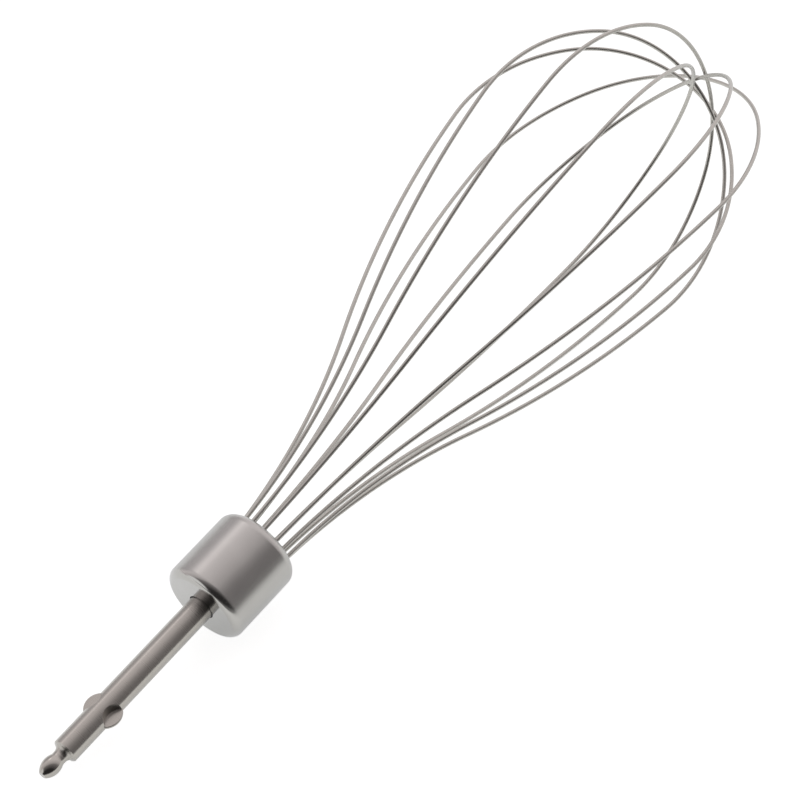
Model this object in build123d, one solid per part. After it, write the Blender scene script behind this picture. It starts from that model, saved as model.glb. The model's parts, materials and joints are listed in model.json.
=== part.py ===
from build123d import *
from math import acos, asin, atan2, cos, degrees, hypot, radians, sin, sqrt, tan
import os

# Balloon whisk attachment for a hand-held blender, lying as it comes to rest.
# It is drawn along +X with the ferrule's flat end at X = 0, then laid on the floor. Sizes are in mm.

os.makedirs("parts", exist_ok=True)

# Drive shaft: one steel rod with a bulb nose and two coined wings
SHAFT_D = 6.0
SHAFT_OUT = 43.9          # ferrule end to the shoulder behind the nose
SHAFT_EDGE = 0.25         # chamfer at both ends of the rod
NOSE_LENGTH = 6.8
NECK_D = 3.3
NECK_FILLET = 1.4         # hollow radius on both sides of the neck
BULB_D = 4.2
BULB_CURVE = 3.9          # radius of the bulb's long curve
TIP_FLAT_D = 1.8
WING_SPAN = 8.9
WING_CURVE = 3.65         # radius of a wing's outline
WING_THICKNESS = 0.7
WING_EDGE = 0.2           # rounding of the wing's rim
WING_OUT = 31.8           # ferrule end to the middle of the wings
WING_ROLL = 6.0           # degrees between the wings and level
PUNCH_D = 6.4             # round punch that presses a pocket into the rod above and below each wing
PUNCH_OUT = 4.85          # its middle from the shaft's axis
PUNCH_DRAFT = 10.0        # degrees

# Ferrule: a drawn steel cup, its mouth rolled in over the holder
FERRULE_D = 20.5
FERRULE_LENGTH = 20.3
FERRULE_WALL = 0.8
FERRULE_EDGE = 2.0        # outside radius at the flat end
MOUTH_EDGE = 2.5          # outside radius at the rolled mouth
FERRULE_HOLE_GAP = 0.25   # around the shaft

# Wire holder: the moulded plug inside the ferrule
HOLDER_GAP = 0.05         # to the ferrule, all round
HOLDER_RECESS = 0.3       # its face below the ferrule's mouth
BORE_FLOOR = 4.4          # holder left ahead of the shaft's bore
BORE_GAP = 0.02           # around the shaft, and at its end
SOCKET_GAP = 0.03         # around a wire, and at its end

# Wire loops: every half loop is a straight end, a flare, a shoulder, a belly and the crown, each tangent to the next
WIRE_D = 1.0
WIRE_IN = 9.0             # length of a leg inside its socket
EXIT_INSET = 1.4          # middle of a wire inside the ferrule's mouth
EXIT_SLOPE = 4.0          # degrees outwards, at the mouth
FLARE_RADIUS = 190.0
SHOULDER_RADIUS = 280.0
BELLY_RADIUS = 47.0
BELLY_TURN = 39.5         # degrees from the widest place to the crown's start
CAGE_LENGTH = 164.5       # ferrule's mouth to the crowns, without the layers
CAGE_WIDTH = 70.0

# The crowns cross in layers, one wire above the other. Hand-bent wires differ: layer from the lowest, more length,
# more half width, turn from an even spacing (degrees), and the crown's lean across the loop's plane and along it
LOOPS = [
    (2, 0.1, 0.1, -2.4, -3.0, 8.0),
    (5, 9.6, 2.9, 3.6, 5.0, -7.4),
    (4, 1.4, 0.3, 0.0, 0.2, -6.0),
    (1, 0.0, 0.3, 1.2, -7.0, -3.8),
    (3, 0.2, -0.4, 2.0, -7.7, -7.4),
    (0, -2.1, -3.4, 0.6, -2.5, -7.9),
]
FIRST_TURN = 315.0        # first leg's angle from upright, degrees
LOOP_STEP = 180.0 / len(LOOPS)
REST_SAMPLES = 160        # places tried along each wire when the whisk is laid down
REST_HALVINGS = 30

SHAFT_R = SHAFT_D / 2
FERRULE_R = FERRULE_D / 2
WIRE_R = WIRE_D / 2
FACE_R = FERRULE_R - FERRULE_EDGE
MOUTH_R = FERRULE_R - MOUTH_EDGE
EXIT_RADIUS = MOUTH_R - EXIT_INSET
INNER_R = FERRULE_R - FERRULE_WALL
HOLDER_FACE = FERRULE_LENGTH - HOLDER_RECESS
BORE_END = HOLDER_FACE - BORE_FLOOR
SHAFT_END = BORE_END - BORE_GAP


def turned(*edges):
    """Solid of revolution about X from a closed outline drawn in X and Y."""
    return revolve(make_face(list(edges)), Axis.X)


def drive_shaft():
    shoulder = -SHAFT_OUT
    tip = shoulder - NOSE_LENGTH
    neck_r = NECK_D / 2
    tip_r = TIP_FLAT_D / 2
    curve_y = BULB_D / 2 - BULB_CURVE
    bulb_x = tip + sqrt(BULB_CURVE**2 - (tip_r - curve_y) ** 2)
    hollow_y = neck_r + NECK_FILLET
    rim_r = SHAFT_R - SHAFT_EDGE
    hollow_1 = shoulder - sqrt(NECK_FILLET**2 - (hollow_y - rim_r) ** 2)
    hollow_turn = degrees(acos((hollow_y - rim_r) / NECK_FILLET))
    hollow_2 = bulb_x + sqrt((BULB_CURVE + NECK_FILLET) ** 2 - (hollow_y - curve_y) ** 2)
    lean = degrees(atan2(hollow_y - curve_y, hollow_2 - bulb_x))
    tip_angle = degrees(atan2(tip_r - curve_y, tip - bulb_x))

    tip_point = (tip, tip_r)
    bulb = CenterArc((bulb_x, curve_y), BULB_CURVE, tip_angle, lean - tip_angle)
    rise = CenterArc((hollow_2, hollow_y), NECK_FILLET, 180 + lean, 90 - lean)
    neck = Line((hollow_2, neck_r), (hollow_1, neck_r))
    fall = CenterArc((hollow_1, hollow_y), NECK_FILLET, 270, hollow_turn)
    rod = Polyline(
        (shoulder, rim_r),
        (shoulder + SHAFT_EDGE, SHAFT_R),
        (SHAFT_END - SHAFT_EDGE, SHAFT_R),
        (SHAFT_END, rim_r),
        (SHAFT_END, 0),
        (tip, 0),
        tip_point,
    )
    shaft = turned(bulb, rise, neck, fall, *rod.edges())

    wing = Cylinder(WING_CURVE, WING_THICKNESS)
    wing = fillet(wing.edges().filter_by(GeomType.CIRCLE), WING_EDGE)
    wing = Pos(0, WING_SPAN / 2 - WING_CURVE, 0) * wing
    punch_r = PUNCH_D / 2
    punch_top = punch_r + SHAFT_R * tan(radians(PUNCH_DRAFT))
    punch = Cone(punch_r, punch_top, SHAFT_R, align=(Align.CENTER, Align.CENTER, Align.MIN))
    punch = Pos(0, PUNCH_OUT, WING_THICKNESS / 2) * punch
    for side in (0, 180):
        place = Pos(-WING_OUT, 0, 0) * Rot(WING_ROLL + side, 0, 0)
        shaft -= place * punch
        shaft -= place * Rot(0, 180, 0) * punch
        shaft += place * wing
    return shaft


def ferrule():
    hole_r = SHAFT_R + FERRULE_HOLE_GAP
    end = FERRULE_LENGTH
    near_x = FERRULE_EDGE
    far_x = end - MOUTH_EDGE
    near_edge = FERRULE_EDGE - FERRULE_WALL
    far_edge = MOUTH_EDGE - FERRULE_WALL
    outside = [
        Line((0, hole_r), (0, FACE_R)),
        CenterArc((near_x, FACE_R), FERRULE_EDGE, 180, -90),
        Line((near_x, FERRULE_R), (far_x, FERRULE_R)),
        CenterArc((far_x, MOUTH_R), MOUTH_EDGE, 90, -90),
    ]
    inside = [
        Line((end, MOUTH_R), (end - FERRULE_WALL, MOUTH_R)),
        CenterArc((far_x, MOUTH_R), far_edge, 0, 90),
        Line((far_x, INNER_R), (near_x, INNER_R)),
        CenterArc((near_x, FACE_R), near_edge, 90, 90),
        Line((FERRULE_WALL, FACE_R), (FERRULE_WALL, hole_r)),
        Line((FERRULE_WALL, hole_r), (0, hole_r)),
    ]
    return turned(*outside, *inside)


def loop_frame(turn, height, across, along):
    """Plane of one loop at the mouth: its X runs up the loop, its Y to the first leg."""
    axis = Vector(1, 0, 0)
    leg = Vector(0, sin(radians(turn)), cos(radians(turn)))
    side = axis.cross(leg)
    tip = asin(across / height)
    sway = asin(along / height)
    tipped = axis * cos(tip) + side * sin(tip)
    up = tipped * cos(sway) + leg * sin(sway)
    out = leg * cos(sway) - tipped * sin(sway)
    return Plane(origin=(FERRULE_LENGTH, 0, 0), x_dir=up, z_dir=up.cross(out))


def half_loop(height, half_width):
    """Edges of one leg from the mouth to the crown's start, the crown's radius and its centre."""
    belly_turn = radians(BELLY_TURN)
    slope = radians(EXIT_SLOPE)
    crown_radius = (half_width - BELLY_RADIUS * (1 - cos(belly_turn))) / cos(belly_turn)
    belly_x = height - BELLY_RADIUS * sin(belly_turn) - crown_radius * (1 - sin(belly_turn))
    belly_y = half_width - BELLY_RADIUS
    flare_x = -FLARE_RADIUS * sin(slope)
    flare_y = EXIT_RADIUS + FLARE_RADIUS * cos(slope)

    # The shoulder's circle touches the flare's from outside and has the belly's inside it
    reach = hypot(flare_x - belly_x, flare_y - belly_y)
    to_flare = SHOULDER_RADIUS + FLARE_RADIUS
    to_belly = SHOULDER_RADIUS - BELLY_RADIUS
    corner = acos((reach**2 + to_belly**2 - to_flare**2) / (2 * reach * to_belly))
    belly_start = atan2(flare_y - belly_y, flare_x - belly_x) + corner - radians(180)
    shoulder_x = belly_x - to_belly * cos(belly_start)
    shoulder_y = belly_y - to_belly * sin(belly_start)
    shoulder_start = degrees(atan2(flare_y - shoulder_y, flare_x - shoulder_x))
    shoulder_end = degrees(belly_start)

    flare = CenterArc((flare_x, flare_y), FLARE_RADIUS, 270 + EXIT_SLOPE, shoulder_start - 90 - EXIT_SLOPE)
    shoulder = CenterArc((shoulder_x, shoulder_y), SHOULDER_RADIUS, shoulder_start, shoulder_end - shoulder_start)
    belly = CenterArc((belly_x, belly_y), BELLY_RADIUS, shoulder_end, 90 - BELLY_TURN - shoulder_end)
    return [flare, shoulder, belly], crown_radius, height - crown_radius


def leg_end(depth):
    """Straight end of a leg, from inside its socket out to the mouth."""
    slope = radians(EXIT_SLOPE)
    inner = (-depth * cos(slope), EXIT_RADIUS - depth * sin(slope))
    return Line(inner, (0, EXIT_RADIUS))


def loop_path(turn, height, half_width, across, along):
    """Middle line of one wire, from the end of one leg over the crown to the end of the other."""
    leg, crown_radius, crown_x = half_loop(height, half_width)
    leg = [leg_end(WIRE_IN)] + leg
    crown_start = 90 - BELLY_TURN
    crown = CenterArc((crown_x, 0), crown_radius, crown_start, -2 * crown_start)
    other_leg = [edge.mirror(Plane.XZ) for edge in leg]
    return loop_frame(turn, height, across, along) * Wire([*leg, crown, *other_leg])


def wire_loop(path):
    return sweep(Plane(origin=path @ 0, z_dir=path % 0) * Circle(WIRE_R), path=path)


def wire_sockets(turn, height, across, along):
    depth = WIRE_IN + SOCKET_GAP
    end = leg_end(depth)
    bore = Cylinder(WIRE_R + SOCKET_GAP, depth + WIRE_D, align=(Align.CENTER, Align.CENTER, Align.MIN))
    bore = Plane(origin=end @ 0, z_dir=end % 0) * bore
    return loop_frame(turn, height, across, along) * (bore + bore.mirror(Plane.XZ))


def wire_holder(placed_loops):
    body_r = INNER_R - HOLDER_GAP
    neck_r = MOUTH_R - HOLDER_GAP
    near_corner = FERRULE_EDGE - FERRULE_WALL - HOLDER_GAP
    far_corner = MOUTH_EDGE - FERRULE_WALL - HOLDER_GAP
    near = FERRULE_WALL + HOLDER_GAP
    far = FERRULE_LENGTH - FERRULE_WALL - HOLDER_GAP
    bore_r = SHAFT_R + BORE_GAP
    near_x = near + near_corner
    far_x = far - far_corner
    near_y = body_r - near_corner
    far_y = body_r - far_corner
    plug = turned(
        Line((near, bore_r), (near, near_y)),
        CenterArc((near_x, near_y), near_corner, 180, -90),
        Line((near_x, body_r), (far_x, body_r)),
        CenterArc((far_x, far_y), far_corner, 90, -90),
        *Polyline(
            (far, far_y),
            (far, neck_r),
            (HOLDER_FACE, neck_r),
            (HOLDER_FACE, 0),
            (BORE_END, 0),
            (BORE_END, bore_r),
            (near, bore_r),
        ).edges(),
    )
    for turn, height, half_width, across, along in placed_loops:
        plug -= wire_sockets(turn, height, across, along)
    return plug


def rise_on_each_side(points, heel, roll):
    """Rise in radians that brings the lowest wire of the left and of the right side level with the heel."""
    heel_x, heel_r, heel_edge = heel
    left = right = 0.0
    for point in points:
        y = point.Y * cos(roll) - point.Z * sin(roll)
        drop = point.Y * sin(roll) + point.Z * cos(roll) + heel_r
        run = point.X - heel_x
        rise = asin((WIRE_R - heel_edge) / hypot(run, drop)) - atan2(drop, run)
        if y > 0:
            left = max(left, rise)
        else:
            right = max(right, rise)
    return left, right


def level(points, heel):
    """Rise and roll, in degrees, that lay a heel and the lowest wire on each side on the floor."""
    low = -radians(LOOP_STEP / 2)
    high = -low
    for _ in range(REST_HALVINGS):
        roll = (low + high) / 2
        left, right = rise_on_each_side(points, heel, roll)
        if left > right:
            low = roll
        else:
            high = roll
    return degrees(max(left, right)), degrees(roll)


def rest(paths):
    """Rise and roll of the whisk on the floor: it rests on the heel that asks for the smallest rise."""
    points = [path @ (i / REST_SAMPLES) for path in paths for i in range(REST_SAMPLES + 1)]
    shaft_heel = (SHAFT_EDGE - SHAFT_OUT, SHAFT_R, 0.0)
    ferrule_heel = (FERRULE_EDGE, FACE_R, FERRULE_EDGE)
    return min(level(points, shaft_heel), level(points, ferrule_heel))


placed = []
for number, (layer, longer, wider, turn, across, along) in enumerate(LOOPS):
    leg_turn = FIRST_TURN - number * LOOP_STEP + turn
    height = CAGE_LENGTH + longer + layer * WIRE_D
    placed.append((leg_turn, height, CAGE_WIDTH / 2 + wider, across, along))
paths = [loop_path(*loop) for loop in placed]

nodes = {
    "drive_shaft": drive_shaft(),
    "ferrule": ferrule(),
    "wire_holder": wire_holder(placed),
}
for number, path in enumerate(paths):
    nodes[f"wire_loop_{number + 1}"] = wire_loop(path)

# Lay the whisk down, with the middle of its box above the origin and the floor at Z = 0
rise, roll = rest(paths)
lying = Rot(0, -rise, 0) * Rot(roll, 0, 0)
box = Compound([lying * solid for solid in nodes.values()]).bounding_box()
middle = box.center()
lying = Pos(-middle.X, -middle.Y, -box.min.Z) * lying

for name, solid in nodes.items():
    export_step(lying * solid, f"parts/{name}.step")
print("roll", round(roll, 3), "rise", round(rise, 3), "size", box.size)
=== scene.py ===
import json
from math import acos, asin, atan2, ceil, cos, hypot, pi, radians, sin, sqrt, tan

import bmesh
import bpy
from mathutils import Matrix, Vector


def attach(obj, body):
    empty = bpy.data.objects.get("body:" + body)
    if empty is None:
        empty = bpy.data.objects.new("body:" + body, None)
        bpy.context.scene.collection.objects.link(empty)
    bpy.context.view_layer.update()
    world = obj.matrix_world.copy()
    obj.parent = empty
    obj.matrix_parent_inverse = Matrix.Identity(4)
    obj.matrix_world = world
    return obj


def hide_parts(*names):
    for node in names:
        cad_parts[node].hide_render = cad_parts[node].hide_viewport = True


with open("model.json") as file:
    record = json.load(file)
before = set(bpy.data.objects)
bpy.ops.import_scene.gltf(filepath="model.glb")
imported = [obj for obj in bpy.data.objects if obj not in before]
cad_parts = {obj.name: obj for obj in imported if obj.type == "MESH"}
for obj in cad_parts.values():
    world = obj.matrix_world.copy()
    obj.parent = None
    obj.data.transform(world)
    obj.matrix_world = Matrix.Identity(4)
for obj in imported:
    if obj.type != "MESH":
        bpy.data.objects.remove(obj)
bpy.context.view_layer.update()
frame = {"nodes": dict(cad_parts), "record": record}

# A balloon whisk attachment in bare steel, lying on a white floor.
# Sizes are in metres, in the frame of the solids.

BODY = "root"

# Drive shaft
SHAFT_R = 0.003
SHAFT_OUT = 0.0439
SHAFT_END = 0.01558       # inner end of the rod, from the ferrule's flat end
SHAFT_EDGE = 0.00025
NOSE_LENGTH = 0.0068
NECK_R = 0.00165
NECK_FILLET = 0.0014
BULB_R = 0.0021
BULB_CURVE = 0.0039
TIP_FLAT_R = 0.0009
WING_REACH = 0.00445
WING_CURVE = 0.00365
WING_THICKNESS = 0.0007
WING_EDGE = 0.0002
WING_OUT = 0.0318
WING_ROLL = radians(6.0)
PUNCH_R = 0.0032
PUNCH_OUT = 0.00485
PUNCH_DRAFT = radians(10.0)
PUNCH_SINK = 0.00002      # how far the punch goes below the wing's face, which the wing then fills

# Ferrule
FERRULE_R = 0.01025
FERRULE_LENGTH = 0.0203
FERRULE_WALL = 0.0008
FERRULE_EDGE = 0.0020
MOUTH_EDGE = 0.0025
HOLE_R = 0.00325

# Wire loops: a straight end, a flare, a shoulder, a belly and the crown on each side
WIRE_R = 0.0005
WIRE_IN = 0.009
EXIT_RADIUS = 0.00635
EXIT_SLOPE = radians(4.0)
FLARE_RADIUS = 0.190
SHOULDER_RADIUS = 0.280
BELLY_RADIUS = 0.047
BELLY_TURN = radians(39.5)
CAGE_LENGTH = 0.1645
CAGE_HALF_WIDTH = 0.035
FIRST_TURN = 315.0        # turn of the first loop about the axis, in degrees
LOOP_STEP = 30.0

# One row for each loop: its layer at the crown, more length, more half width, more turn in degrees,
# and how far its crown leans across its plane and along it
LOOPS = [
    (2, 0.0001, 0.0001, -2.4, -0.0030, 0.0080),
    (5, 0.0096, 0.0029, 3.6, 0.0050, -0.0074),
    (4, 0.0014, 0.0003, 0.0, 0.0002, -0.0060),
    (1, 0.0000, 0.0003, 1.2, -0.0070, -0.0038),
    (3, 0.0002, -0.0004, 2.0, -0.0077, -0.0074),
    (0, -0.0021, -0.0034, 0.6, -0.0025, -0.0079),
]

# Fineness of the meshes
BARREL_SIDES = 160
WIRE_SIDES = 24
WIRE_STEP = 0.0012
ARC_STEP = radians(4.0)
SHARP = radians(28.0)
EDGE_SUPPORT = 0.00004    # ring beside each edge of a turned piece, which keeps its flats flat
LONG_STRETCH = 8 * EDGE_SUPPORT   # only stretches longer than this get such rings
SAME_POINT = 1e-7

# The whisk lies with its axis rising from the shaft to the crown, and it is turned a little about that axis
REST_ROLL = radians(-0.649)
MOUNT = frame["record"]["mounts"][0]
AXIS = -Vector(MOUNT["axis"])
FACE = Vector(MOUNT["pos_m"]) + AXIS * WING_OUT
REST_RISE = atan2(AXIS.z, AXIS.x)
RISEN = Matrix.Translation(FACE) @ Matrix.Rotation(-REST_RISE, 4, "Y")
LYING = RISEN @ Matrix.Rotation(REST_ROLL, 4, "X")

# Camera. Its azimuth runs from +Y towards +X, and both angles are in degrees
CAMERA_TARGET = Vector((-0.01410, -0.01175, 0.02996))
CAMERA_AZIMUTH = 50.56
CAMERA_ELEVATION = 46.66
CAMERA_ROLL = radians(-1.30)
CAMERA_DISTANCE = 0.53614
CAMERA_LENS = 108.1
CAMERA_SENSOR = 36.0
CAMERA_NEAR = 0.01

# Finishes of the steels: texture coordinates and stretch of their fine lines, dull and bright colour,
# range of roughness, and strength and depth of the lines as bump
SHAFT_FINISH = {
    "kind": "Object",
    "stretch": (5000, 60, 60),
    "dull": (0.405, 0.388, 0.362),
    "bright": (0.433, 0.415, 0.388),
    "roughness": (0.27, 0.29),
    "relief": (0.006, 0.00001),
}
FERRULE_FINISH = {
    "kind": "Object",
    "stretch": (60, 3000, 3000),
    "dull": (0.432, 0.425, 0.411),
    "bright": (0.458, 0.450, 0.436),
    "roughness": (0.21, 0.25),
    "relief": (0.04, 0.00001),
}
WIRE_FINISH = {
    "kind": "UV",
    "stretch": (400, 14, 1),
    "dull": (0.450, 0.441, 0.413),
    "bright": (0.492, 0.482, 0.452),
    "roughness": (0.32, 0.38),
    "relief": (0.03, 0.00001),
}
GRAZING = (0.95, 0.96, 0.99)   # how much of the plain gloss is left where steel is seen edge-on
GRAIN_TILT = Vector((0, 0, 0.02))   # gives the ferrule's flat end, which faces along the axis, a grain too
GRAIN_AXIS = AXIS + GRAIN_TILT
SHAFT_SPREAD = 0.80       # how far the gloss is spread one way
FERRULE_SPREAD = 0.85
QUARTER_TURN = 0.25
SHAFT_POLISH = 0.5        # share of the roughness that is left on the shaft's nose
FERRULE_POLISH = 0.45     # and on the ferrule's flat end

# Noise of the finishes
UNSTRETCHED = (1, 1, 1)
NOISE_LOW = 0.3           # most values of a noise lie between these two
NOISE_HIGH = 0.7
CLOUD_SCALE = 160.0
CLOUD_DETAIL = 3.0
LINE_SCALE = 1.0          # the stretch of the lines sets how fine they are
LINE_DETAIL = 2.0

# Plastic of the wire holder
PLASTIC_DARK = (0.075, 0.075, 0.08)
PLASTIC_PALE = (0.10, 0.10, 0.105)
PLASTIC_ROUGHNESS = (0.42, 0.58)
PLASTIC_RELIEF = (0.35, 0.00003)
PLASTIC_GRAIN = 5200.0
PLASTIC_DETAIL = 4.0
PLASTIC_CLOUDS = 220.0

# Floor: white to the camera and in the steel, with the whisk's own shadow on it.
# Beyond a line out from the whisk, the floor's glow and colour are painted darker for every ray but camera
# rays. This is painted shade of the floor's light falling off, and the steel shows it as a grey far floor
FLOOR_RADIUS = 4.0
FLOOR_SIDES = 96
FLOOR_ROUGHNESS = 0.9
FLOOR_GLOW = 0.87
FLOOR_WHITE = (0.36, 0.36, 0.36)
STEEL_GLOW = 0.53         # the same two as the steel sees them, which gives the floor a deeper shadow there
STEEL_WHITE = (0.90, 0.95, 0.92)
FLOOR_PAINTED_SHADE_DIRECTION = (-145, 0)   # direction that the edge of the painted shade lies in, as an azimuth and an elevation
FLOOR_PAINTED_SHADE_EDGE = (0.095, 0.115)   # how far out the edge of the painted shade begins and ends
FLOOR_PAINTED_SHADE_LEVEL = 0.20          # share of the floor's light that is left beyond it, as painted shade

# Studio: one side of the room is a wide soft light, which fades through grey to the dark room
# behind the camera. Directions are an azimuth from +Y towards +X and an elevation, both in degrees.
# Edges and stops are cosines of the angle from a direction, and each stop has its brightness
MAIN_LIGHT = (50, 0)
MAIN_TINT = (1.06, 0.995, 1.0)
MAIN_STOPS = [
    (-0.75, 0.04),
    (-0.45, 0.19),
    (-0.33, 0.265),
    (-0.24, 0.26),
    (-0.15, 0.46),
    (-0.08, 0.66),
    (0.00, 0.73),
    (0.10, 0.76),
    (0.25, 0.90),
    (0.40, 0.98),
    (0.60, 1.02),
]
# Smaller places in the room: direction, edges, and the colour that is mixed in there
PLACES = [
    ((18, 12), (0.82, 0.985), (0.66, 0.63, 0.64)),      # under the light
    ((27, 46), (0.985, 0.9994), (1.85, 1.75, 1.76)),    # the light's brightest part
    ((-62, 8), (0.90, 0.95), (1.15, 1.15, 1.15)),       # low white wall
]


def direction(azimuth, elevation):
    """Unit vector at an azimuth from +Y towards +X and an elevation, in degrees."""
    turn = radians(azimuth)
    lift = radians(elevation)
    return Vector((cos(lift) * sin(turn), cos(lift) * cos(turn), sin(lift)))


def arc(cx, cy, radius, start, turn):
    """Points of an arc, both ends included."""
    count = max(2, ceil(abs(turn) / ARC_STEP))
    angles = [start + turn * i / count for i in range(count + 1)]
    return [(cx + radius * cos(a), cy + radius * sin(a)) for a in angles]


def supported(points):
    """The same outline with a ring close to each end of its long straight stretches."""
    result = []
    for (x0, y0), (x1, y1) in zip(points, points[1:]):
        length = hypot(x1 - x0, y1 - y0)
        result.append((x0, y0))
        if length > LONG_STRETCH:
            for share in (EDGE_SUPPORT / length, 1 - EDGE_SUPPORT / length):
                result.append((x0 + (x1 - x0) * share, y0 + (y1 - y0) * share))
    result.append(points[-1])
    return result


def joined(*stretches):
    """One outline from stretches that begin where the last one ended."""
    points = []
    for stretch in stretches:
        for point in stretch:
            if not points or hypot(point[0] - points[-1][0], point[1] - points[-1][1]) > SAME_POINT:
                points.append(point)
    return points


def finish_mesh(bm, name):
    """Object from a bmesh, shaded smooth with its true edges sharp."""
    bmesh.ops.recalc_face_normals(bm, faces=bm.faces)
    for face in bm.faces:
        face.smooth = True
    for edge in bm.edges:
        edge.smooth = len(edge.link_faces) == 2 and edge.calc_face_angle() < SHARP
    mesh = bpy.data.meshes.new(name)
    bm.to_mesh(mesh)
    bm.free()
    piece = bpy.data.objects.new(name, mesh)
    bpy.context.scene.collection.objects.link(piece)
    return piece


def turned_mesh(outline, closed, sides=BARREL_SIDES):
    """Turns an outline of (x, radius) about X. An open outline begins and ends on the axis."""
    bm = bmesh.new()
    rings = []
    for x, r in outline:
        if r < SAME_POINT:
            rings.append([bm.verts.new((x, 0, 0))])
        else:
            turns = [2 * pi * k / sides for k in range(sides)]
            rings.append([bm.verts.new((x, r * cos(a), r * sin(a))) for a in turns])
    pairs = list(zip(rings, rings[1:]))
    if closed:
        pairs.append((rings[-1], rings[0]))
    for first, second in pairs:
        for k in range(sides):
            n = (k + 1) % sides
            if len(first) == 1:
                bm.faces.new((first[0], second[n], second[k]))
            elif len(second) == 1:
                bm.faces.new((first[k], first[n], second[0]))
            else:
                bm.faces.new((first[k], first[n], second[n], second[k]))
    return bm


def shaft_outline():
    """Outline of the rod and its nose, from the tip to the inner end."""
    shoulder = -SHAFT_OUT
    tip = shoulder - NOSE_LENGTH
    rim_r = SHAFT_R - SHAFT_EDGE
    curve_y = BULB_R - BULB_CURVE
    bulb_x = tip + sqrt(BULB_CURVE**2 - (TIP_FLAT_R - curve_y) ** 2)
    hollow_y = NECK_R + NECK_FILLET
    hollow_1 = shoulder - sqrt(NECK_FILLET**2 - (hollow_y - rim_r) ** 2)
    hollow_2 = bulb_x + sqrt((BULB_CURVE + NECK_FILLET) ** 2 - (hollow_y - curve_y) ** 2)
    hollow_turn = acos((hollow_y - rim_r) / NECK_FILLET)
    lean = atan2(hollow_y - curve_y, hollow_2 - bulb_x)
    tip_angle = atan2(TIP_FLAT_R - curve_y, tip - bulb_x)
    rod = [
        (shoulder, rim_r),
        (shoulder + SHAFT_EDGE, SHAFT_R),
        (SHAFT_END - SHAFT_EDGE, SHAFT_R),
        (SHAFT_END, rim_r),
        (SHAFT_END, 0),
    ]
    return joined(
        supported([(tip, 0), (tip, TIP_FLAT_R)]),
        arc(bulb_x, curve_y, BULB_CURVE, tip_angle, lean - tip_angle),
        arc(hollow_2, hollow_y, NECK_FILLET, pi + lean, pi / 2 - lean),
        arc(hollow_1, hollow_y, NECK_FILLET, 1.5 * pi, hollow_turn),
        supported(rod),
    )


def wing_plate():
    """Outline of the round plate that one wing is a part of, along its own axis."""
    half = WING_THICKNESS / 2
    rim = WING_CURVE - WING_EDGE
    return joined(
        supported([(-half, 0), (-half, rim)]),
        arc(WING_EDGE - half, rim, WING_EDGE, pi, -pi / 2),
        arc(half - WING_EDGE, rim, WING_EDGE, pi / 2, -pi / 2),
        supported([(half, rim), (half, 0)]),
    )


def punch():
    """Outline of the punch that presses the pocket on one face of a wing, along its own axis."""
    half = WING_THICKNESS / 2
    low = half - PUNCH_SINK
    low_r = PUNCH_R - PUNCH_SINK * tan(PUNCH_DRAFT)
    top = half + SHAFT_R
    top_r = PUNCH_R + SHAFT_R * tan(PUNCH_DRAFT)
    return [(low, 0), (low, low_r), (top, top_r), (top, 0)]


def combine(piece, operation, tool):
    """Adds a tool mesh to a piece, or takes it away."""
    change = piece.modifiers.new("change", "BOOLEAN")
    change.operation = operation
    change.solver = "EXACT"
    change.object = tool
    bpy.context.view_layer.update()
    changed = piece.evaluated_get(bpy.context.evaluated_depsgraph_get())
    mesh = bpy.data.meshes.new_from_object(changed)
    piece.modifiers.clear()
    piece.data = mesh
    bpy.data.objects.remove(tool)


def drive_shaft():
    """The rod with its two wings and the pockets beside them."""
    rod = finish_mesh(turned_mesh(shaft_outline(), closed=False), "shaft_rod")
    upright = Matrix.Rotation(-pi / 2, 4, "Y")
    for side in (0, pi):
        place = Matrix.Translation((-WING_OUT, 0, 0)) @ Matrix.Rotation(WING_ROLL + side, 4, "X")
        for face in (0, pi):
            pocket = turned_mesh(punch(), closed=False)
            turned = Matrix.Translation((0, PUNCH_OUT, 0)) @ Matrix.Rotation(face, 4, "Y") @ upright
            bmesh.ops.transform(pocket, matrix=place @ turned, verts=pocket.verts)
            combine(rod, "DIFFERENCE", finish_mesh(pocket, "pocket"))
        wing = turned_mesh(wing_plate(), closed=False)
        turned = Matrix.Translation((0, WING_REACH - WING_CURVE, 0)) @ upright
        bmesh.ops.transform(wing, matrix=place @ turned, verts=wing.verts)
        combine(rod, "UNION", finish_mesh(wing, "wing"))
    bm = bmesh.new()
    bm.from_mesh(rod.data)
    bpy.data.objects.remove(rod)
    return finish_mesh(bm, "steel_shaft")


def ferrule():
    """The cup with its hole, rounded edge and rolled mouth."""
    face_r = FERRULE_R - FERRULE_EDGE
    mouth_r = FERRULE_R - MOUTH_EDGE
    inner_r = FERRULE_R - FERRULE_WALL
    near_edge = FERRULE_EDGE - FERRULE_WALL
    far_edge = MOUTH_EDGE - FERRULE_WALL
    near = FERRULE_EDGE
    far = FERRULE_LENGTH - MOUTH_EDGE
    end = FERRULE_LENGTH
    outline = joined(
        supported([(0, HOLE_R), (0, face_r)]),
        arc(near, face_r, FERRULE_EDGE, pi, -pi / 2),
        supported([(near, FERRULE_R), (far, FERRULE_R)]),
        arc(far, mouth_r, MOUTH_EDGE, pi / 2, -pi / 2),
        supported([(end, mouth_r), (end - FERRULE_WALL, mouth_r)]),
        arc(far, mouth_r, far_edge, 0, pi / 2),
        [(far, inner_r), (near, inner_r)],
        arc(near, face_r, near_edge, pi / 2, pi / 2),
        supported([(FERRULE_WALL, face_r), (FERRULE_WALL, HOLE_R), (0, HOLE_R)])[:-1],
    )
    return finish_mesh(turned_mesh(outline, closed=True), "steel_ferrule")


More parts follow.
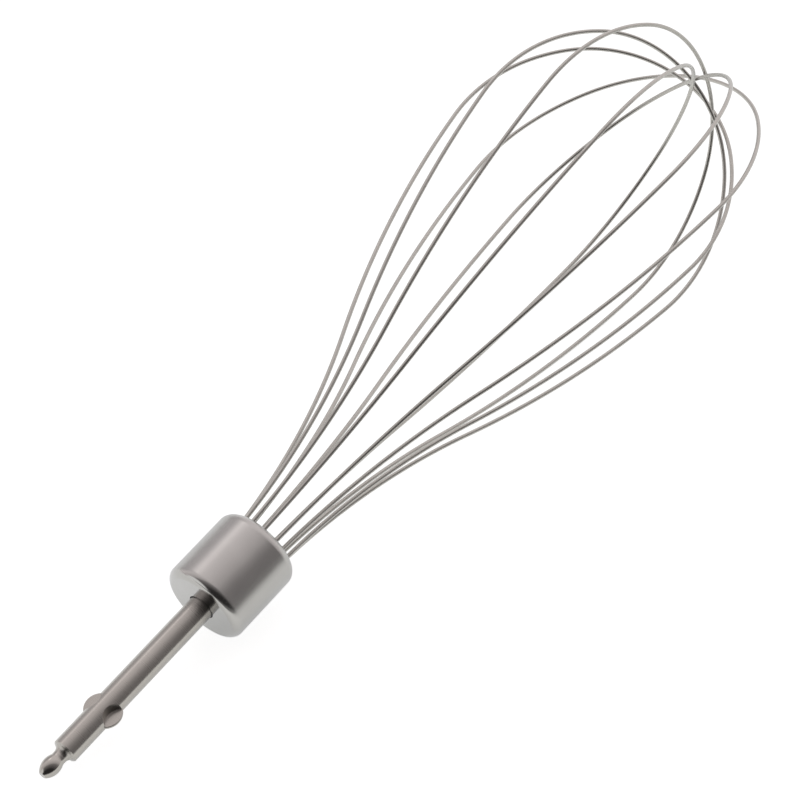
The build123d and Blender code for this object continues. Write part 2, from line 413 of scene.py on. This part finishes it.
def half_loop(height, half_width):
    """Points of one leg in the loop's plane and their headings, from the hidden end to the crown's top."""
    crown_radius = (half_width - BELLY_RADIUS * (1 - cos(BELLY_TURN))) / cos(BELLY_TURN)
    belly_x = height - BELLY_RADIUS * sin(BELLY_TURN) - crown_radius * (1 - sin(BELLY_TURN))
    belly_y = half_width - BELLY_RADIUS
    flare_x = -FLARE_RADIUS * sin(EXIT_SLOPE)
    flare_y = EXIT_RADIUS + FLARE_RADIUS * cos(EXIT_SLOPE)
    reach = hypot(flare_x - belly_x, flare_y - belly_y)
    to_flare = SHOULDER_RADIUS + FLARE_RADIUS
    to_belly = SHOULDER_RADIUS - BELLY_RADIUS
    corner = acos((reach**2 + to_belly**2 - to_flare**2) / (2 * reach * to_belly))
    belly_start = atan2(flare_y - belly_y, flare_x - belly_x) + corner - pi
    shoulder_x = belly_x - to_belly * cos(belly_start)
    shoulder_y = belly_y - to_belly * sin(belly_start)
    shoulder_start = atan2(flare_y - shoulder_y, flare_x - shoulder_x)
    crown_start = pi / 2 - BELLY_TURN
    arcs = [
        (flare_x, flare_y, FLARE_RADIUS, 1.5 * pi + EXIT_SLOPE, pi + shoulder_start),
        (shoulder_x, shoulder_y, SHOULDER_RADIUS, shoulder_start, belly_start),
        (belly_x, belly_y, BELLY_RADIUS, belly_start, crown_start),
        (height - crown_radius, 0, crown_radius, crown_start, 0),
    ]
    points = [(-WIRE_IN * cos(EXIT_SLOPE), EXIT_RADIUS - WIRE_IN * sin(EXIT_SLOPE), EXIT_SLOPE)]
    for cx, cy, radius, start, end in arcs:
        count = ceil(abs(end - start) * radius / WIRE_STEP)
        first = 0 if cx == flare_x else 1
        heading = pi / 2 if end > start else -pi / 2
        for i in range(first, count + 1):
            a = start + (end - start) * i / count
            points.append((cx + radius * cos(a), cy + radius * sin(a), a + heading))
    return points


def loop_frame(turn, height, across, along):
    """Matrix of one loop's plane at the mouth: its X runs up the loop, its Y to the first leg."""
    axis = Vector((1, 0, 0))
    leg = Vector((0, sin(turn), cos(turn)))
    side = axis.cross(leg)
    tip = asin(across / height)
    sway = asin(along / height)
    tipped = axis * cos(tip) + side * sin(tip)
    up = tipped * cos(sway) + leg * sin(sway)
    out = leg * cos(sway) - tipped * sin(sway)
    across_plane = up.cross(out)
    turned = Matrix((up, out, across_plane)).transposed().to_4x4()
    return Matrix.Translation((FERRULE_LENGTH, 0, 0)) @ turned


def wire_loop(number):
    """Round wire along one loop, with its length and its turn as UV."""
    layer, longer, wider, turn, across, along = LOOPS[number]
    height = CAGE_LENGTH + longer + layer * 2 * WIRE_R
    leg_turn = radians(FIRST_TURN - number * LOOP_STEP + turn)
    place = loop_frame(leg_turn, height, across, along)
    leg = half_loop(height, CAGE_HALF_WIDTH + wider)
    back = [(x, -y, -heading + pi) for x, y, heading in reversed(leg[:-1])]
    bm = bmesh.new()
    uv_layer = bm.loops.layers.uv.new("length_and_turn")
    rings = []
    lengths = [0.0]
    path = leg + back
    for (x0, y0, _), (x1, y1, _) in zip(path, path[1:]):
        lengths.append(lengths[-1] + hypot(x1 - x0, y1 - y0))
    for x, y, heading in path:
        ring = []
        for k in range(WIRE_SIDES):
            a = 2 * pi * k / WIRE_SIDES
            out = WIRE_R * cos(a)
            corner = Vector((x - out * sin(heading), y + out * cos(heading), WIRE_R * sin(a)))
            ring.append(bm.verts.new(place @ corner))
        rings.append(ring)
    for i, (first, second) in enumerate(zip(rings, rings[1:])):
        for k in range(WIRE_SIDES):
            n = (k + 1) % WIRE_SIDES
            face = bm.faces.new((first[k], first[n], second[n], second[k]))
            corners = [(i, k), (i, k + 1), (i + 1, k + 1), (i + 1, k)]
            for loop, (row, column) in zip(face.loops, corners):
                loop[uv_layer].uv = (lengths[row], column / WIRE_SIDES)
    bm.faces.new(rings[0])
    bm.faces.new(rings[-1])
    return finish_mesh(bm, f"steel_wire_{number + 1}")


def material(name):
    """New node material: itself, its node tree and its shader."""
    made = bpy.data.materials.new(name)
    made.use_nodes = True
    tree = made.node_tree
    tree.nodes.clear()
    shader = tree.nodes.new("ShaderNodeBsdfPrincipled")
    output = tree.nodes.new("ShaderNodeOutputMaterial")
    tree.links.new(shader.outputs["BSDF"], output.inputs["Surface"])
    return made, tree, shader


def coordinates(tree, kind, stretch):
    """Texture coordinates, stretched by three factors. Object ones run along the whisk and across it."""
    source = tree.nodes.new("ShaderNodeTexCoord")
    vector = source.outputs[kind]
    if kind == "Object":
        standing = tree.nodes.new("ShaderNodeMapping")
        standing.vector_type = "TEXTURE"
        standing.inputs["Location"].default_value = LYING.to_translation()
        standing.inputs["Rotation"].default_value = LYING.to_euler()
        tree.links.new(vector, standing.inputs["Vector"])
        vector = standing.outputs["Vector"]
    mapping = tree.nodes.new("ShaderNodeMapping")
    mapping.inputs["Scale"].default_value = stretch
    tree.links.new(vector, mapping.inputs["Vector"])
    return mapping.outputs["Vector"]


def noise(tree, vector, scale, detail):
    """Value of a noise."""
    node = tree.nodes.new("ShaderNodeTexNoise")
    node.inputs["Scale"].default_value = scale
    node.inputs["Detail"].default_value = detail
    tree.links.new(vector, node.inputs["Vector"])
    return node.outputs["Fac"]


def ramp(tree, value, low, high):
    """Colour between two colours, by the value of a noise."""
    node = tree.nodes.new("ShaderNodeValToRGB")
    node.color_ramp.elements[0].position = NOISE_LOW
    node.color_ramp.elements[0].color = (*low, 1)
    node.color_ramp.elements[1].position = NOISE_HIGH
    node.color_ramp.elements[1].color = (*high, 1)
    tree.links.new(value, node.inputs["Fac"])
    return node.outputs["Color"]


def spread(tree, value, low, high):
    """The value of a noise spread between two numbers."""
    node = tree.nodes.new("ShaderNodeMapRange")
    node.inputs["From Min"].default_value = NOISE_LOW
    node.inputs["From Max"].default_value = NOISE_HIGH
    node.inputs["To Min"].default_value = low
    node.inputs["To Max"].default_value = high
    tree.links.new(value, node.inputs["Value"])
    return node.outputs["Result"]


def compute(tree, operation, *values):
    """Result of a math node, from sockets and plain numbers."""
    node = tree.nodes.new("ShaderNodeMath")
    node.operation = operation
    for socket, value in zip(node.inputs, values):
        if isinstance(value, bpy.types.NodeSocket):
            tree.links.new(value, socket)
        else:
            socket.default_value = value
    return node.outputs[0]


def bump(tree, value, strength, distance):
    """Normal that follows a height."""
    node = tree.nodes.new("ShaderNodeBump")
    node.inputs["Strength"].default_value = strength
    node.inputs["Distance"].default_value = distance
    tree.links.new(value, node.inputs["Height"])
    return node.outputs["Normal"]


def steel(name, kind, stretch, dull, bright, roughness, relief):
    """Bare steel: a clouded colour, and the fine lines of its finish in roughness and bump."""
    made, tree, shader = material(name)
    shader.inputs["Metallic"].default_value = 1.0
    shader.inputs["Specular Tint"].default_value = (*GRAZING, 1)
    clouds = noise(tree, coordinates(tree, "Object", UNSTRETCHED), CLOUD_SCALE, CLOUD_DETAIL)
    lines = noise(tree, coordinates(tree, kind, stretch), LINE_SCALE, LINE_DETAIL)
    tree.links.new(ramp(tree, clouds, dull, bright), shader.inputs["Base Color"])
    tree.links.new(spread(tree, lines, *roughness), shader.inputs["Roughness"])
    tree.links.new(bump(tree, lines, *relief), shader.inputs["Normal"])
    return made


def grained(made, strength, turn):
    """Spreads a steel's gloss around the whisk's axis, or along it with a quarter turn."""
    tree = made.node_tree
    shader = tree.nodes["Principled BSDF"]
    shader.inputs["Anisotropic"].default_value = strength
    shader.inputs["Anisotropic Rotation"].default_value = turn
    surface = tree.nodes.new("ShaderNodeNewGeometry")
    around = tree.nodes.new("ShaderNodeVectorMath")
    around.operation = "CROSS_PRODUCT"
    around.inputs[1].default_value = GRAIN_AXIS
    tree.links.new(surface.outputs["Normal"], around.inputs[0])
    tree.links.new(around.outputs["Vector"], shader.inputs["Tangent"])


def polished(made, share, low, high):
    """Leaves a share of a steel's roughness below one place along the whisk, and all of it above another."""
    tree = made.node_tree
    shader = tree.nodes["Principled BSDF"]
    rough = shader.inputs["Roughness"].links[0].from_socket
    parts = tree.nodes.new("ShaderNodeSeparateXYZ")
    along = tree.nodes.new("ShaderNodeMapRange")
    along.inputs["From Min"].default_value = low
    along.inputs["From Max"].default_value = high
    along.inputs["To Min"].default_value = share
    along.inputs["To Max"].default_value = 1.0
    tree.links.new(coordinates(tree, "Object", UNSTRETCHED), parts.inputs[0])
    tree.links.new(parts.outputs["X"], along.inputs["Value"])
    smoother = compute(tree, "MULTIPLY", rough, along.outputs["Result"])
    tree.links.new(smoother, shader.inputs["Roughness"])


def moulded_plastic():
    """Dark plastic with the fine grain of a mould."""
    made, tree, shader = material("holder_plastic")
    vector = coordinates(tree, "Object", UNSTRETCHED)
    grain = noise(tree, vector, PLASTIC_GRAIN, PLASTIC_DETAIL)
    clouds = noise(tree, vector, PLASTIC_CLOUDS, CLOUD_DETAIL)
    tree.links.new(ramp(tree, clouds, PLASTIC_DARK, PLASTIC_PALE), shader.inputs["Base Color"])
    tree.links.new(spread(tree, grain, *PLASTIC_ROUGHNESS), shader.inputs["Roughness"])
    tree.links.new(bump(tree, grain, *PLASTIC_RELIEF), shader.inputs["Normal"])
    return made


def dressed(piece, node, finish):
    """Lays a piece down with the whisk, sets its material, puts it under the body, and hides the node that
    it stands for.
    """
    piece.data.materials.append(finish)
    piece.data.transform(LYING)
    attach(piece, BODY)
    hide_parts(node)


def floor():
    """White disc under the whisk, with painted shade on its far part for every ray but camera rays."""
    bm = bmesh.new()
    bmesh.ops.create_circle(bm, cap_ends=True, radius=FLOOR_RADIUS, segments=FLOOR_SIDES)
    mesh = bpy.data.meshes.new("floor")
    bm.to_mesh(mesh)
    bm.free()
    ground = bpy.data.objects.new("floor", mesh)
    bpy.context.scene.collection.objects.link(ground)
    made, tree, shader = material("floor_white")
    places = tree.nodes.new("ShaderNodeTexCoord")
    distance = tree.nodes.new("ShaderNodeVectorMath")
    distance.operation = "DOT_PRODUCT"
    distance.inputs[1].default_value = direction(*FLOOR_PAINTED_SHADE_DIRECTION)
    # Painted shade: beyond a line, the floor's glow and colour fall to a share of their level, for every ray
    # but camera rays
    painted_falloff = tree.nodes.new("ShaderNodeMapRange")
    painted_falloff.interpolation_type = "SMOOTHSTEP"
    painted_falloff.inputs["From Min"].default_value = FLOOR_PAINTED_SHADE_EDGE[0]
    painted_falloff.inputs["From Max"].default_value = FLOOR_PAINTED_SHADE_EDGE[1]
    painted_falloff.inputs["To Min"].default_value = 1.0
    painted_falloff.inputs["To Max"].default_value = FLOOR_PAINTED_SHADE_LEVEL
    tree.links.new(places.outputs["Object"], distance.inputs[0])
    tree.links.new(distance.outputs["Value"], painted_falloff.inputs["Value"])
    rays = tree.nodes.new("ShaderNodeLightPath")
    to_camera = rays.outputs["Is Camera Ray"]
    in_steel = rays.outputs["Is Glossy Ray"]
    share = compute(tree, "MAXIMUM", painted_falloff.outputs["Result"], to_camera)
    white = tree.nodes.new("ShaderNodeMix")
    white.data_type = "VECTOR"
    white.inputs["A"].default_value = FLOOR_WHITE
    white.inputs["B"].default_value = STEEL_WHITE
    tree.links.new(in_steel, white.inputs["Factor"])
    colour = tree.nodes.new("ShaderNodeVectorMath")
    colour.operation = "SCALE"
    tree.links.new(white.outputs["Result"], colour.inputs[0])
    tree.links.new(share, colour.inputs["Scale"])
    seen = compute(tree, "MAXIMUM", to_camera, rays.outputs["Is Transmission Ray"])
    plain = compute(tree, "MULTIPLY", seen, FLOOR_GLOW)
    glow = compute(tree, "MULTIPLY_ADD", in_steel, STEEL_GLOW, plain)
    tree.links.new(colour.outputs["Vector"], shader.inputs["Base Color"])
    shader.inputs["Roughness"].default_value = FLOOR_ROUGHNESS
    shader.inputs["Specular IOR Level"].default_value = 0.0
    shader.inputs["Emission Color"].default_value = (1, 1, 1, 1)
    tree.links.new(compute(tree, "MULTIPLY", glow, share), shader.inputs["Emission Strength"])
    mesh.materials.append(made)


def studio():
    """Light of the room, all in the world."""
    world = bpy.data.worlds.new("studio")
    bpy.context.scene.world = world
    world.use_nodes = True
    tree = world.node_tree
    tree.nodes.clear()
    ways = tree.nodes.new("ShaderNodeTexCoord")

    def nearness(place, low, high, interpolation):
        """0 to 1 as a direction comes nearer to one place, between two cosines."""
        toward = tree.nodes.new("ShaderNodeVectorMath")
        toward.operation = "DOT_PRODUCT"
        toward.inputs[1].default_value = direction(*place)
        share = tree.nodes.new("ShaderNodeMapRange")
        share.interpolation_type = interpolation
        share.inputs["From Min"].default_value = low
        share.inputs["From Max"].default_value = high
        tree.links.new(ways.outputs["Generated"], toward.inputs[0])
        tree.links.new(toward.outputs["Value"], share.inputs["Value"])
        return share.outputs["Result"]

    low = MAIN_STOPS[0][0]
    high = MAIN_STOPS[-1][0]
    shades = tree.nodes.new("ShaderNodeValToRGB")
    stops = shades.color_ramp.elements
    for place, _ in MAIN_STOPS[1:-1]:
        stops.new((place - low) / (high - low))
    for stop, (_, level) in zip(stops, MAIN_STOPS):
        stop.color = (*(level * part for part in MAIN_TINT), 1)
    tree.links.new(nearness(MAIN_LIGHT, low, high, "LINEAR"), shades.inputs["Fac"])
    light = shades.outputs["Color"]
    for place, edges, shade in PLACES:
        mix = tree.nodes.new("ShaderNodeMix")
        mix.data_type = "RGBA"
        mix.inputs["B"].default_value = (*shade, 1)
        tree.links.new(nearness(place, *edges, "SMOOTHSTEP"), mix.inputs["Factor"])
        tree.links.new(light, mix.inputs["A"])
        light = mix.outputs["Result"]
    background = tree.nodes.new("ShaderNodeBackground")
    output = tree.nodes.new("ShaderNodeOutputWorld")
    tree.links.new(light, background.inputs["Color"])
    tree.links.new(background.outputs["Background"], output.inputs["Surface"])


def camera():
    """Camera that sees the whisk as the photo does."""
    data = bpy.data.cameras.new("camera")
    data.sensor_fit = "HORIZONTAL"
    data.sensor_width = CAMERA_SENSOR
    data.lens = CAMERA_LENS
    data.clip_start = CAMERA_NEAR
    eye = bpy.data.objects.new("camera", data)
    bpy.context.scene.collection.objects.link(eye)
    ahead = direction(CAMERA_AZIMUTH, -CAMERA_ELEVATION)
    right = ahead.cross(Vector((0, 0, 1))).normalized()
    up = right.cross(ahead)
    level = Matrix((right, up, -ahead)).transposed().to_4x4()
    turned = level @ Matrix.Rotation(CAMERA_ROLL, 4, "Z")
    eye.matrix_world = Matrix.Translation(CAMERA_TARGET - ahead * CAMERA_DISTANCE) @ turned
    bpy.context.scene.camera = eye


shaft_steel = steel("shaft_steel", **SHAFT_FINISH)
grained(shaft_steel, SHAFT_SPREAD, QUARTER_TURN)
polished(shaft_steel, SHAFT_POLISH, -SHAFT_OUT - 2 * NECK_FILLET, -SHAFT_OUT - NECK_FILLET)
ferrule_steel = steel("ferrule_steel", **FERRULE_FINISH)
grained(ferrule_steel, FERRULE_SPREAD, 0.0)
polished(ferrule_steel, FERRULE_POLISH, FERRULE_EDGE / 4, FERRULE_EDGE)
wire_steel = steel("wire_steel", **WIRE_FINISH)

dressed(drive_shaft(), "drive_shaft", shaft_steel)
dressed(ferrule(), "ferrule", ferrule_steel)
for number in range(len(LOOPS)):
    dressed(wire_loop(number), f"wire_loop_{number + 1}", wire_steel)

holder = frame["nodes"]["wire_holder"]
holder.data.materials.clear()
holder.data.materials.append(moulded_plastic())

floor()
studio()
camera()
bpy.context.scene.view_settings.view_transform = "Standard"
